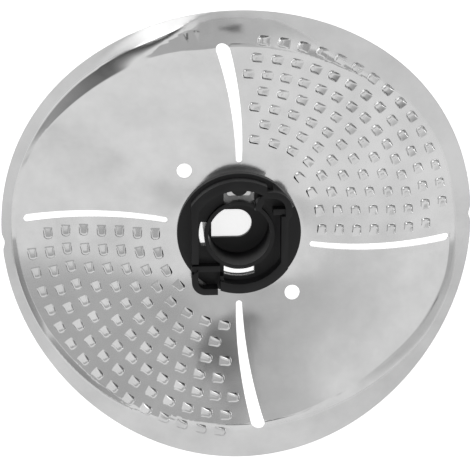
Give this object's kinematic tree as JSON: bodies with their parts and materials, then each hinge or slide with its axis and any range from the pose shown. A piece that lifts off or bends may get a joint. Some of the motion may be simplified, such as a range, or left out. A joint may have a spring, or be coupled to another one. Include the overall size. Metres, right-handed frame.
{
  "type": "food processor grating disc",
  "caption": "Saddle-bent steel grating disc for a food processor, with toothed and plain quarters, curved slots and a moulded drive hub.",
  "frame": {"origin": "on the drive shaft's axis, at the foot of the hub", "axes": "+Z along the drive shaft towards the raised collar, +X towards the side slot whose quarter of teeth lies towards +Y"},
  "size_m": [0.1698, 0.1644, 0.0266],
  "materials": {
    "steel_sheet": "pressed stainless sheet, softly polished, with fine scratches",
    "hub_plastic": "moulded black plastic, satin"
  },
  "bodies": {
    "root": {"grating_disc": "steel_sheet", "drive_hub": "hub_plastic"}
  },
  "joints": []
}
